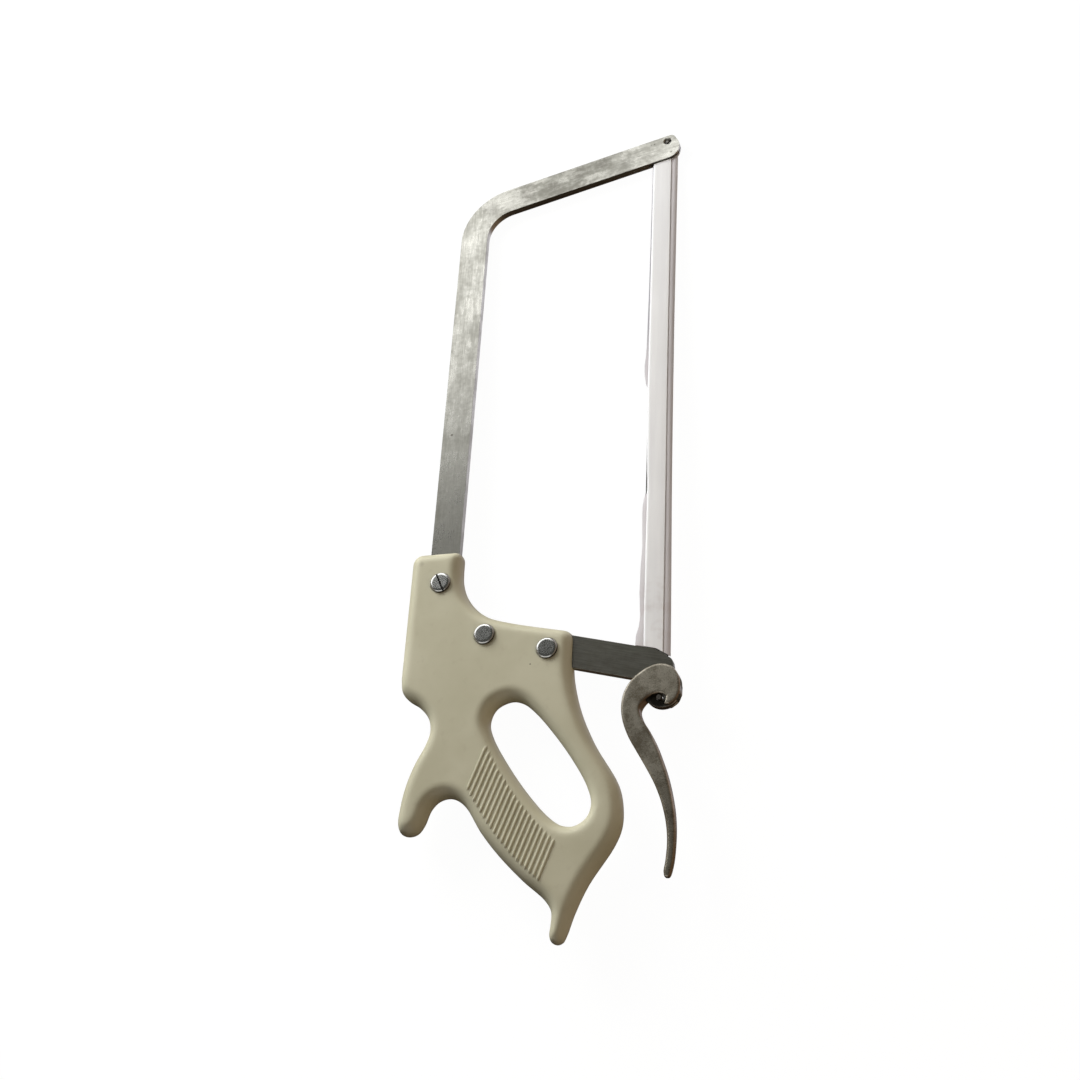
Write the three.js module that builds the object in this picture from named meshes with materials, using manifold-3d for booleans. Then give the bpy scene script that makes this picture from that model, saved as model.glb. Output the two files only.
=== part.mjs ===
// Butcher's bone saw: a flat steel C frame, a two-shell moulded handle on three barrel-nut screws,
// a blade that hangs between two cross pins, and a forked cam lever that turns on the frame's round end,
// hooks the blade's heel pin and tensions the blade.
// Millimetres. The saw lies flat: X runs from spine to blade, Y from handle to tip, Z is thickness.
import * as THREE from 'three';
import { mergeVertices } from 'three/addons/utils/BufferGeometryUtils.js';
import Module from 'manifold-3d';

const wasm = await Module();
wasm.setup();

// Driving dimensions. The drawing's origin is where the axes of spine and lower arm cross.
const GAP = 0.35; // between neighbouring solids
const BAR_WIDTH = 19;
const BAR_THICK = 4.8;
const SPINE_LENGTH = 319; // from the lower to the upper crossing of the bar's axes
const TOP_ARM_TILT = 13; // degrees above X
const LOW_ARM_TILT = -13.4;
const TOP_BEND_RADIUS = 31; // on the bar's axis
const LOW_BEND_RADIUS = 34; // hidden in the handle
const LOW_ARM_DEEPER = 0.7; // the lower arm is this much wider than the spine
const TIP_END = new THREE.Vector2(144.2, 354.9); // on the tip's slanting end face
const TIP_END_ANGLE = 120;
const TIP_PIN = new THREE.Vector2(136.5, 355.6);
const HEEL_PIN = new THREE.Vector2(139.1, -52.7);
const TIP_PIN_RADIUS = 1.2;
const TIP_HOLE_RADIUS = 2.2; // the pin pushes in from the side
const HEEL_PIN_RADIUS = 1.5;
const KERF = 1.3; // slot in the bar's two ends, for the blade
const LOBE_CENTRE = new THREE.Vector2(140.6, -47.9); // round end of the lower arm, which the lever turns on
const LOBE_RADIUS = 10.7;
const LEVER_OPEN = 90; // degrees
const LEVER_THICK = 9.6;
const LEVER_TAIL_THICK = 6;
const CHEEK_THICK = 2.05;
const BLADE = { x: 135.4, width: 16, thick: 0.6, toothPitch: 25.4 / 11, toothDepth: 1.2 };
const HANDLE_THICK = 17;
const HANDLE_EDGE = 3.5; // bevel that stands for the moulded edge radius
const SCREWS = [
  { name: 'top', x: 0.9, y: 27.7, slottedFront: true },
  { name: 'middle', x: 32.2, y: -8.8, slottedFront: false },
  { name: 'arm', x: 72.1, y: -20.4, slottedFront: false },
];
const HEAD = { r: 6.5, chamfer: 0.9, height: 1.8, seat: 0.5 };
const SHANK_RADIUS = 2;
const BARREL_RADIUS = 3.1;
const RIBS = {
  count: 20, x: 38.9, y: -78.6, stepX: 2.04, stepY: -3.75, // top ends, in a slanting row down the grip
  bendX: 0.0135, bendY: 0.0404, // the row follows the edge of the grip hole
  length: 28.2, lastLength: 24.3, angle: -110.5, width: 1.7, high: 0.6,
};
const PAPER = 0.3;

const rad = THREE.MathUtils.degToRad;
const HANDLE_FACE = HANDLE_THICK / 2;
const HEAD_TOP = HANDLE_FACE + GAP - HEAD.seat + HEAD.height;

// Outlines

const vec = (x, y) => new THREE.Vector2(x, y);

// Where two lines cross, each given by a point and a direction in degrees.
function meet(p, angleP, q, angleQ) {
  const u = vec(1, 0).rotateAround(vec(0, 0), rad(angleP));
  const v = vec(1, 0).rotateAround(vec(0, 0), rad(angleQ));
  const t = q.clone().sub(p).cross(v) / u.cross(v);
  return p.clone().addScaledVector(u, t);
}

// A closed polygon whose corners [x, y, radius] are rounded, with a point every 15 degrees or so.
function rounded(corners) {
  const at = (i) => corners[(i + corners.length) % corners.length];
  return corners.flatMap(([x, y, r], i) => {
    const here = vec(x, y);
    if (!r) return [here];
    const back = vec(at(i - 1)[0], at(i - 1)[1]).sub(here).normalize();
    const on = vec(at(i + 1)[0], at(i + 1)[1]).sub(here).normalize();
    const half = Math.acos(back.dot(on)) / 2;
    const centre = here.clone().addScaledVector(back.clone().add(on).normalize(), r / Math.sin(half));
    const from = here.clone().addScaledVector(back, r / Math.tan(half)).sub(centre);
    const turn = (Math.PI - 2 * half) * Math.sign(on.cross(back));
    const steps = Math.max(1, Math.round(Math.abs(turn) / rad(15)));
    const step = (k) => from.clone().rotateAround(vec(0, 0), (turn * k) / steps).add(centre);
    return Array.from({ length: steps + 1 }, (_, k) => step(k));
  });
}

// A smooth curve through points, closed or open, with each span split in equal steps.
function curve(points, steps = 2, closed = false) {
  const knots = points.map(([x, y]) => new THREE.Vector3(x, y, 0));
  const line = new THREE.CatmullRomCurve3(knots, closed, 'centripetal');
  const spans = closed ? points.length : points.length - 1;
  const dots = line.getPoints(spans * steps).map((p) => vec(p.x, p.y));
  if (closed) dots.pop();
  return dots;
}

const circle = (x, y, r, sides = 24) =>
  Array.from({ length: sides }, (_, i) =>
    vec(x + r * Math.cos((2 * Math.PI * i) / sides), y + r * Math.sin((2 * Math.PI * i) / sides)));

// Solids

// A closed three.js geometry as a solid that can be cut and joined.
function solid(geometry) {
  let plain = geometry.index ? geometry.toNonIndexed() : geometry.clone();
  plain.deleteAttribute('normal');
  plain.deleteAttribute('uv');
  plain = mergeVertices(plain, 1e-4);
  return new wasm.Manifold(new wasm.Mesh({
    numProp: 3,
    vertProperties: new Float32Array(plain.attributes.position.array),
    triVerts: new Uint32Array(plain.index.array),
  }));
}

function geometryOf(body) {
  const { vertProperties, triVerts } = body.getMesh();
  const geometry = new THREE.BufferGeometry();
  geometry.setAttribute('position', new THREE.BufferAttribute(new Float32Array(vertProperties), 3));
  geometry.setIndex(new THREE.BufferAttribute(new Uint32Array(triVerts), 1));
  geometry.computeVertexNormals();
  return geometry;
}

// An outline, with holes, pushed from z = low to z = high. The bevel stays inside the outline.
function plate(outline, low, high, { holes = [], bevel = 0 } = {}) {
  const shape = new THREE.Shape(outline);
  shape.holes = holes.map((hole) => new THREE.Path(hole));
  const geometry = new THREE.ExtrudeGeometry(shape, {
    depth: high - low - 2 * bevel,
    bevelEnabled: bevel > 0,
    bevelThickness: bevel,
    bevelSize: bevel,
    bevelOffset: -bevel,
    bevelSegments: 2,
  });
  return solid(geometry.translate(0, 0, low + bevel));
}

const block = (x0, x1, y0, y1, z0, z1) =>
  solid(new THREE.BoxGeometry(x1 - x0, y1 - y0, z1 - z0)
    .translate((x0 + x1) / 2, (y0 + y1) / 2, (z0 + z1) / 2));

const drum = (x, y, r, z0, z1, sides = 20) => plate(circle(x, y, r, sides), z0, z1);

// Frame bar

const HALF_BAR = BAR_WIDTH / 2;
const across = (angle, offset) => vec(0, offset).rotateAround(vec(0, 0), rad(angle));
const topLine = (offset) => across(TOP_ARM_TILT, offset).add(vec(0, SPINE_LENGTH));
const lowLine = (offset) => across(LOW_ARM_TILT, offset);
const topCorner = (side) => meet(vec(-side, 0), 90, topLine(side), TOP_ARM_TILT);
const tipCorner = (side) => meet(TIP_END, TIP_END_ANGLE, topLine(side), TOP_ARM_TILT);

// The bar grown outwards by "grow", which also gives the recess that it lies in. Its lower end is a disc.
function barOutline(grow = 0) {
  const side = HALF_BAR + grow;
  const under = lowLine(-side - LOW_ARM_DEEPER);
  const shoulder = [146.4, -29.4];
  return rounded([
    [...topCorner(side), TOP_BEND_RADIUS + side],
    [...meet(vec(-side, 0), 90, under, LOW_ARM_TILT), LOW_BEND_RADIUS + side],
    [...meet(vec(LOBE_CENTRE.x, 0), 90, under, LOW_ARM_TILT), 0],
    [LOBE_CENTRE.x + 7.6, LOBE_CENTRE.y + 7.4, 0],
    [...shoulder, 4.5],
    [...meet(lowLine(side), LOW_ARM_TILT, vec(...shoulder), 148), 10],
    [...meet(vec(side, 0), 90, lowLine(side), LOW_ARM_TILT), LOW_BEND_RADIUS - side],
    [...topCorner(-side), TOP_BEND_RADIUS - side],
    [...tipCorner(-side), 10],
    [...tipCorner(side), 3.5],
  ]);
}

function frameBar() {
  const half = BAR_THICK / 2;
  const slot = HEEL_PIN_RADIUS + GAP;
  let bar = plate(barOutline(), -half, half, {
    holes: SCREWS.map(({ x, y }) => circle(x, y, BARREL_RADIUS + GAP, 16)),
  });
  bar = bar.add(drum(LOBE_CENTRE.x, LOBE_CENTRE.y, LOBE_RADIUS, -half, half, 40));
  const kerfs = [
    block(BLADE.x - 12, 200, SPINE_LENGTH, 400, -KERF / 2, KERF / 2),
    block(BLADE.x - 12, 200, -80, 0, -KERF / 2, KERF / 2),
  ];
  const cuts = [
    ...kerfs,
    drum(TIP_PIN.x, TIP_PIN.y, TIP_HOLE_RADIUS, -half - 1, half + 1),
    drum(HEEL_PIN.x, HEEL_PIN.y, slot, -half - 1, half + 1),
    block(HEEL_PIN.x, 200, HEEL_PIN.y - slot, HEEL_PIN.y + slot, -half - 1, half + 1),
  ];
  for (const cut of cuts) bar = bar.subtract(cut);
  return bar;
}

// Handle

const HANDLE_OUTLINE = [
  ...rounded([[12.2, 20, 0], [12.2, 50.6, 5.5], [-21.2, 50.6, 7], [-21.2, 20, 0]]).slice(1, -1),
  ...curve([
    [-21.2, -33], [-19.7, -41], [-15, -46.3], [-7.3, -51.3], [-1.2, -58.7], [0.5, -67], [-1.6, -75],
    [-7.4, -87], [-11.6, -99.5], [-13.8, -112], [-14.2, -123], [-11.6, -128], [-7, -129.3], [-2.2, -127.6],
    [1.4, -122.6], [4.8, -113.5], [9, -109], [15.2, -107.3], [21.2, -109], [27.2, -114], [36.5, -128],
    [48, -141.5], [63.5, -156.3], [77, -167.4], [80.9, -173.6], [81, -180.5], [80.5, -186.4], [81.8, -189.8],
    [84.8, -191.2], [88, -189.9], [90.2, -185.8], [94, -174.5], [101.3, -158.5], [114.8, -138], [118.9, -128], [119.6, -117.5],
    [116.8, -103.5], [101.8, -78.5], [92.8, -58.3], [88, -40], [86.6, -28],
  ]),
  ...rounded([[86.6, -28, 0], [86.6, -8.1, 7.5], [40, 0.2, 0]]).slice(1, -1),
  ...curve([[62, -4], [47, -0.9], [32, 4.2], [23, 11], [16.2, 20.5], [12.9, 30.5], [12.2, 39]]),
];
const GRIP_HOLE = curve([
  [49.5, -49.6], [57.3, -51.5], [65, -57.6], [76, -70], [88.5, -86.8], [98, -103], [101, -113.5],
  [98.7, -121.3], [92, -125.9], [84.6, -125.5], [77, -120.8], [64.5, -107.7], [50.6, -89.2], [39.6, -70.8],
  [37.3, -62], [40.5, -53.6],
], 2, true);

// The rows of raised ribs across the grip, as bars with sloping sides that stand on the face.
function gripRibs() {
  const along = vec(1, 0).rotateAround(vec(0, 0), rad(RIBS.angle));
  const ribs = [];
  for (let i = 0; i < RIBS.count; i++) {
    const start = vec(RIBS.x + i * RIBS.stepX + i * i * RIBS.bendX, RIBS.y + i * RIBS.stepY + i * i * RIBS.bendY);
    const middle = start.clone().addScaledVector(along, ribLength(i) / 2);
    const section = new THREE.Shape([
      vec(-RIBS.width / 2, -1), vec(RIBS.width / 2, -1), vec(RIBS.width / 2, 0),
      vec(RIBS.width / 4, RIBS.high), vec(-RIBS.width / 4, RIBS.high), vec(-RIBS.width / 2, 0),
    ]);
    const rib = new THREE.ExtrudeGeometry(section, { depth: ribLength(i), bevelEnabled: false });
    rib.translate(0, 0, -ribLength(i) / 2).rotateX(Math.PI / 2).rotateZ(rad(RIBS.angle + 90));
    ribs.push(solid(rib.translate(middle.x, middle.y, HANDLE_FACE)));
  }
  return ribs;
}

// The grip narrows towards its lower end, so the ribs get shorter.
function ribLength(i) {
  return THREE.MathUtils.lerp(RIBS.length, RIBS.lastLength, i / (RIBS.count - 1));
}

// One shell of the handle: the side of the front (1) or the back (-1).
function handleHalf(side) {
  let shell = plate(HANDLE_OUTLINE, -HANDLE_FACE, HANDLE_FACE, { holes: [GRIP_HOLE], bevel: HANDLE_EDGE });
  shell = shell.intersect(block(-100, 200, -300, 100, GAP / 2, 20));
  for (const rib of gripRibs()) shell = shell.add(rib);
  shell = shell.subtract(plate(barOutline(GAP), -1, BAR_THICK / 2 + GAP));
  for (const { x, y } of SCREWS) {
    shell = shell.subtract(drum(x, y, BARREL_RADIUS + GAP, -1, 20));
    shell = shell.subtract(drum(x, y, HEAD.r + GAP, HANDLE_FACE - HEAD.seat, 20, 24));
  }
  return side > 0 ? shell : shell.mirror([0, 0, 1]);
}

// Handle screws: a slotted screw from one side runs into a barrel nut from the other

// A round head with a chamfer, its shank below it, made about Z with its top at z = 0.
function headAndShank(shank, length, bore = 0, boreDepth = 0) {
  const { r, chamfer, height } = HEAD;
  const profile = [[0, 0], [r - chamfer, 0], [r, -chamfer], [r, -height], [shank, -height], [shank, -length]];
  const core = bore ? [[bore, -length], [bore, -length + boreDepth], [0, -length + boreDepth]] : [[0, -length]];
  const dots = [...profile, ...core].map(([x, y]) => vec(x, y)).reverse();
  return solid(new THREE.LatheGeometry(dots, 24).rotateX(Math.PI / 2));
}

function slottedScrew() {
  const slot = block(-10, 10, -0.65, 0.65, -1.1, 1);
  return headAndShank(SHANK_RADIUS, HEAD_TOP + 5).subtract(slot);
}

function barrelNut() {
  const length = HEAD_TOP + 5.5;
  return headAndShank(BARREL_RADIUS, length, SHANK_RADIUS + GAP, 12.5);
}

// Lever

const LEVER_OUTLINE = [
  ...curve([
    [151.4, -45.5], [150.6, -40.6], [147.1, -35], [142.4, -32.8], [136.6, -32.7], [129, -36.1],
    [122, -42.4], [118.3, -49.3], [117.1, -56.8], [117.9, -64.9], [121.4, -75], [126.7, -84.5], [132, -93.6],
    [137.2, -103.4], [141.2, -113.8], [143.9, -125], [144.8, -136], [144, -146.5], [143.1, -152.5],
    [144, -155.4], [146.4, -155.5], [148.5, -149.5], [149.8, -135], [149.4, -122], [147.7, -111],
    [144.9, -99.5], [141.5, -89.5], [137.7, -80], [133.1, -71.2], [129.2, -64.6], [127.9, -59.2],
    [130.3, -54.8], [134.5, -51.6], [138.7, -50.4], [141.7, -51],
  ], 2),
  vec(143.3, -52.4),
  vec(142.4, -57.2),
  ...curve([[145.2, -57.5], [149.2, -54.4], [151.2, -50]], 3),
];

// The heel pin as the lever sees it while it opens: the blade swings about its tip pin meanwhile.
const BLADE_SWING = 0.0098; // turn of the blade for each turn of the lever
function pinSeenByLever(degrees) {
  const swung = HEEL_PIN.clone().rotateAround(TIP_PIN, rad(degrees * BLADE_SWING));
  return swung.rotateAround(LOBE_CENTRE, -rad(degrees));
}

function tensionLever() {
  const half = LEVER_THICK / 2;
  const inside = half - CHEEK_THICK;
  let lever = plate(LEVER_OUTLINE, -half, half);
  // Seen from the side the tail tapers from the full thickness at the neck.
  const taper = new THREE.Shape([
    vec(-200, -LEVER_TAIL_THICK / 2), vec(-150, -LEVER_TAIL_THICK / 2), vec(-72, -half - 0.1), vec(0, -half - 0.1),
    vec(0, half + 0.1), vec(-72, half + 0.1), vec(-150, LEVER_TAIL_THICK / 2), vec(-200, LEVER_TAIL_THICK / 2),
  ]);
  const wedge = new THREE.ExtrudeGeometry(taper, { depth: 100, bevelEnabled: false });
  wedge.applyMatrix4(new THREE.Matrix4().makeBasis(
    new THREE.Vector3(0, 1, 0), new THREE.Vector3(0, 0, 1), new THREE.Vector3(1, 0, 0)));
  lever = lever.intersect(solid(wedge.translate(90, 0, 0)));
  const arm = lowLine(-HALF_BAR - LOW_ARM_DEEPER - GAP);
  const fork = [
    meet(arm, LOW_ARM_TILT, vec(100, 0), 90), meet(arm, LOW_ARM_TILT, vec(180, 0), 90), vec(180, 0), vec(100, 0),
  ];
  lever = lever.subtract(plate(fork, -inside, inside));
  lever = lever.subtract(drum(LOBE_CENTRE.x, LOBE_CENTRE.y, LOBE_RADIUS + GAP + 0.1, -inside, inside, 40));
  for (let angle = 0; angle <= LEVER_OPEN; angle += LEVER_OPEN / 6) {
    const pin = pinSeenByLever(angle);
    lever = lever.subtract(drum(pin.x, pin.y, HEEL_PIN_RADIUS + GAP, -half - 1, half + 1, 16));
  }
  return lever;
}

// Blade and its paper sleeve

const SLEEVE_TOP = -0.6; // from the top arm's lower edge
const SLEEVE_BOTTOM = 0.9; // above the lower arm's upper edge
const TEETH_FROM = -12;
const TEETH_TO = 328;

function blade() {
  const { x, width, thick, toothPitch, toothDepth } = BLADE;
  const left = x - width / 2;
  const right = x + width / 2;
  const tab = 3.8; // the ends narrow to this on each side of their pin
  const teeth = [];
  for (let y = TEETH_FROM; y < TEETH_TO; y += toothPitch) {
    teeth.push([right, y, 0], [right - toothDepth, y + 0.15 * toothPitch, 0]);
  }
  const outline = rounded([
    [left, -33, 6],
    [HEEL_PIN.x - tab, -43, 4],
    [HEEL_PIN.x - tab, HEEL_PIN.y - tab, tab - 0.1],
    [HEEL_PIN.x + tab, HEEL_PIN.y - tab, tab - 0.1],
    [HEEL_PIN.x + tab, -43, 1],
    [right, -40, 2],
    ...teeth,
    [right, TEETH_TO, 0],
    [right, 347, 2],
    [TIP_PIN.x + tab, 352, 2.5],
    [TIP_PIN.x + tab, TIP_PIN.y + tab, tab - 0.1],
    [TIP_PIN.x - tab, TIP_PIN.y + tab, tab - 0.1],
    [TIP_PIN.x - tab, 352, 2.5],
    [left, 346, 4],
  ]);
  return plate(outline, -thick / 2, thick / 2, {
    holes: [
      circle(TIP_PIN.x, TIP_PIN.y, TIP_PIN_RADIUS + GAP, 12),
      circle(HEEL_PIN.x, HEEL_PIN.y, HEEL_PIN_RADIUS + GAP, 12),
    ],
  });
}

const crossPin = (pin, r, length) => drum(pin.x, pin.y, r, -length / 2, length / 2, 16);

// The sleeve between two X values. Its ends slant with the two arms. The upper end rises under the tip's
// rounded corner, and the lower end dips where the lower arm rounds off.
const UNDER_TIP_CORNER = [new THREE.Vector2(143.7, 344.6), new THREE.Vector2(141.3, 342.2)];
const CORNER_FROM = 139.5;
function sleeveOutline(x0, x1) {
  const top = topLine(-HALF_BAR + SLEEVE_TOP);
  const low = lowLine(HALF_BAR + SLEEVE_BOTTOM);
  const onTop = (x) => meet(vec(x, 0), 90, top, TOP_ARM_TILT);
  const onLow = (x) => meet(vec(x, 0), 90, low, LOW_ARM_TILT);
  const dip = onLow(136);
  const rise = UNDER_TIP_CORNER.filter(({ x }) => x <= x1);
  const level = onTop(Math.min(x1, CORNER_FROM));
  return [onLow(x0), dip, meet(vec(x1, 0), 90, dip, -31), ...rise, level, onTop(x0)];
}

// The inner wrap is a flat tube around the blade, open at both ends.
const INNER_WRAP = { x0: 126.7, x1: 143.7, inside: 0.65 };
function sleeveUnder() {
  const { x0, x1, inside } = INNER_WRAP;
  const half = inside + PAPER;
  const tube = plate(sleeveOutline(x0, x1), -half, half);
  return tube.subtract(block(x0 + PAPER, x1 - PAPER, -100, 400, -inside, inside));
}

// The outer wrap is folded round the spine side and ends in a free edge near the teeth.
const OVER_WRAP_EDGE = 139.5;
function sleeveOver() {
  const inside = INNER_WRAP.inside + PAPER + GAP;
  const half = inside + PAPER;
  const x0 = INNER_WRAP.x0 - GAP - PAPER;
  const fold = plate(sleeveOutline(x0, OVER_WRAP_EDGE), -half, half);
  return fold.subtract(block(x0 + PAPER, 200, -100, 400, -inside, inside));
}

// Assembly

const materials = {
  steel: new THREE.MeshStandardMaterial({ color: '#8f8e86', roughness: 0.38, metalness: 1 }),
  casting: new THREE.MeshStandardMaterial({ color: '#6e6b62', roughness: 0.5, metalness: 1 }),
  plastic: new THREE.MeshStandardMaterial({ color: '#cbc7b0', roughness: 0.5, metalness: 0 }),
  chrome: new THREE.MeshStandardMaterial({ color: '#c9cacc', roughness: 0.18, metalness: 1 }),
  paper: new THREE.MeshStandardMaterial({ color: '#e4e6ee', roughness: 0.85, metalness: 0 }),
};

const saw = new THREE.Group();
function add(name, body, material) {
  const mesh = new THREE.Mesh(geometryOf(body), materials[material].clone());
  mesh.name = name;
  saw.add(mesh);
  return mesh;
}

add('frame_bar', frameBar(), 'steel');
add('handle_front_half', handleHalf(1), 'plastic');
add('handle_back_half', handleHalf(-1), 'plastic');
for (const { name, x, y, slottedFront } of SCREWS) {
  const screw = add(`handle_screw_${name}`, slottedScrew(), 'chrome');
  const nut = add(`barrel_nut_${name}`, barrelNut(), 'chrome');
  const [front, back] = slottedFront ? [screw, nut] : [nut, screw];
  front.position.set(x, y, HEAD_TOP);
  back.position.set(x, y, -HEAD_TOP);
  back.rotation.y = Math.PI;
  screw.rotation.z = rad(slottedFront ? 115 : 40);
}
add('tension_lever', tensionLever(), 'casting');
add('blade', blade(), 'steel');
add('blade_tip_pin', crossPin(TIP_PIN, TIP_PIN_RADIUS, BAR_THICK - 0.6), 'steel');
add('blade_heel_pin', crossPin(HEEL_PIN, HEEL_PIN_RADIUS, LEVER_THICK - 2), 'steel');
add('sleeve_under', sleeveUnder(), 'paper');
add('sleeve_over', sleeveOver(), 'paper');

// The origin is under the middle of the saw, on the surface that its back heads rest on.
saw.updateMatrixWorld(true);
const box = new THREE.Box3().setFromObject(saw, true);
saw.position.set(-(box.min.x + box.max.x) / 2, -(box.min.y + box.max.y) / 2, -box.min.z);

export default saw;
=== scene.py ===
# Looks of the butcher's bone saw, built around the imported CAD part. Metres in the row frame.
# Outlines are repeated from the part's source in millimetres, in the drawing's own frame: X runs from the
# spine to the blade, Y from the handle to the tip, Z is thickness, z = 0 is the middle of the bar. Only the
# handle's upper edge differs: it is about 1 mm fuller, so that its round leaves a wall over the bar.
import math

import bmesh
import bpy
import numpy as np
from mathutils import Matrix, Vector
from mathutils.geometry import tessellate_polygon


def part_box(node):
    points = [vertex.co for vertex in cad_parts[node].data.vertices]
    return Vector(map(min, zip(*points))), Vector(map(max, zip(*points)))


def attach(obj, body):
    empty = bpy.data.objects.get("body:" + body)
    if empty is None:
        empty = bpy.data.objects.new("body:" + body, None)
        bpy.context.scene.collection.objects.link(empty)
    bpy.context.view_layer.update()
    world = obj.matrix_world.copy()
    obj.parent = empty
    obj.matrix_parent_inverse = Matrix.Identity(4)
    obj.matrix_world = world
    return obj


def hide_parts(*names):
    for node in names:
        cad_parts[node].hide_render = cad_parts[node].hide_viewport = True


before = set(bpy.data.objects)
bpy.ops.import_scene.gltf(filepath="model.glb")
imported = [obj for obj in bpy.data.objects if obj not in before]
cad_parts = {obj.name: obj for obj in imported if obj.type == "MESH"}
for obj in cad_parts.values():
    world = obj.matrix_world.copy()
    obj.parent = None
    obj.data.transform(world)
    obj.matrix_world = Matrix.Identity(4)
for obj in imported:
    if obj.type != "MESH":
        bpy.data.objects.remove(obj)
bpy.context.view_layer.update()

MM = 0.001

# Driving dimensions, millimetres and degrees
GAP = 0.35
BAR_WIDTH = 19
HALF_BAR = BAR_WIDTH / 2
BAR_THICK = 4.8
HALF_BAR_THICK = BAR_THICK / 2
ROLLED_EDGE = 1.3  # radius along the bar's edges
BROKEN_EDGE = 0.2  # along the edges that are cut afterwards
SPINE_LENGTH = 319
TOP_ARM_TILT = 13
LOW_ARM_TILT = -13.4
TOP_BEND_RADIUS = 31
LOW_BEND_RADIUS = 34
LOW_ARM_DEEPER = 0.7
TIP_END = Vector((144.2, 354.9))  # on the tip's slanting end face
TIP_END_ANGLE = 120
TIP_CORNER_RADII = (10, 3.5)  # lower and upper
HEEL_SHOULDER = Vector((146.4, -29.4))  # where the lower arm narrows to its round end
HEEL_SHOULDER_ANGLE = 148
TIP_PIN = Vector((136.5, 355.6))
HEEL_PIN = Vector((139.1, -52.7))
TIP_PIN_RADIUS = 1.2
TIP_HOLE_RADIUS = 2.2
HEEL_PIN_RADIUS = 1.5
SINK_DEPTH = 0.8  # of the countersink at the tip's hole
KERF = 1.3  # slots for the blade in both ends of the bar
LOBE_CENTRE = Vector((140.6, -47.9))
LOBE_RADIUS = 10.7
LEVER_OPEN = 90
LEVER_THICK = 9.6
LEVER_HALF = LEVER_THICK / 2
LEVER_TAPER = (-72, -150, 1.8)  # from y, to y, and the thickness lost on each side
LEVER_ROUND = (1.6, 2.6, -58, -113)  # smallest and largest radius, and the y where each is reached
CHEEK_THICK = 2.05
BLADE_SWING = 0.0098  # the blade's turn for each turn of the lever
BLADE_X = 135.4
HANDLE_THICK = 17
HANDLE_HALF = HANDLE_THICK / 2
HANDLE_TOP = 50.6
HANDLE_ROUND = 7.0  # width of the moulded round edge
HANDLE_CREASE = 12  # angle at which the round leaves the face
CREASE_BLEND = 1.0  # height over which round and face run into each other
SEAM = 0.22  # between the two shells
RIB_COUNT = 20
RIB_FIRST = Vector((38.9, -78.6))  # upper end of the first rib
RIB_STEP = Vector((2.04, -3.75))
RIB_BEND = Vector((0.0135, 0.0404))  # the row follows the edge of the grip hole
RIB_LENGTHS = (28.2, 24.3)
RIB_ANGLE = -110.5
RIB_HALF_WIDTH = 0.85
RIB_END_WIDTH = 0.45  # share of the width that is left at a rib's ends
RIB_RUN_OUT = 1.4
RIB_HIGH = 0.45
RIB_SUNK = 0.65
HEAD_RADIUS = 6.5
HEAD_FACE = 4.6  # radius of the flat, inside the rounded rim
HEAD_DROP = 1.2  # height of the rounded rim
HEAD_HEIGHT = 1.8
HEAD_SEAT = 0.5
HEAD_TOP = 10.15  # from the middle of the bar
SLOT_WIDTH = 1.2
SLOT_DEPTH = 1.2
SHANK_RADIUS = 2
BARREL_RADIUS = 3.1
BARREL_BORE_DEPTH = 12.5
FAR = 20  # a cut that goes right through reaches this far from the middle
SCREWS = [
    ("top", 0.9, 27.7, True),
    ("middle", 32.2, -8.8, False),
    ("arm", 72.1, -20.4, False),
]  # name, x, y, screw's head on the front
SLOT_ANGLE = {True: 115, False: 40}  # slot on the front, slot on the back

# The drawing's origin in the row frame, from the frame bar's and the handle's boxes
bar_low, bar_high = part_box("frame_bar")
handle_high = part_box("handle_front_half")[1]
ORIGIN = Vector((
    bar_low.x + BAR_WIDTH / 2 * MM,
    handle_high.y - HANDLE_TOP * MM,
    (bar_low.z + bar_high.z) / 2,
))
TO_ROW = Matrix.Translation(ORIGIN) @ Matrix.Scale(MM, 4)


def row(x, y, z=0):
    """A point of the drawing, in millimetres, in the row frame."""
    return TO_ROW @ Vector((x, y, z))


def in_scene(name, data):
    made = bpy.data.objects.new(name, data)
    bpy.context.scene.collection.objects.link(made)
    return made


# ---------------------------------------------------------------- camera

CAMERA_AT = row(324.4, -354.4, 788.63)
CAMERA_TURN = (0.475820, 0.294639, 0.057670)  # about X, then Y, then Z

camera = in_scene("camera", bpy.data.cameras.new("camera"))
camera.data.lens = 50
camera.data.sensor_width = 36
camera.data.clip_start = 0.01
camera.data.clip_end = 50
turn_x, turn_y, turn_z = (Matrix.Rotation(a, 4, axis) for a, axis in zip(CAMERA_TURN, "XYZ"))
camera.matrix_world = Matrix.Translation(CAMERA_AT) @ turn_z @ turn_y @ turn_x
bpy.context.scene.camera = camera

# ---------------------------------------------------------------- outlines


def direction(angle):
    return Vector((math.cos(math.radians(angle)), math.sin(math.radians(angle))))


def meet(p, angle_p, q, angle_q):
    """Where two lines cross, each given by a point and a direction in degrees."""
    u = direction(angle_p)
    v = direction(angle_q)
    offset = Vector(q) - Vector(p)
    return Vector(p) + u * (offset.cross(v) / u.cross(v))


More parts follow.
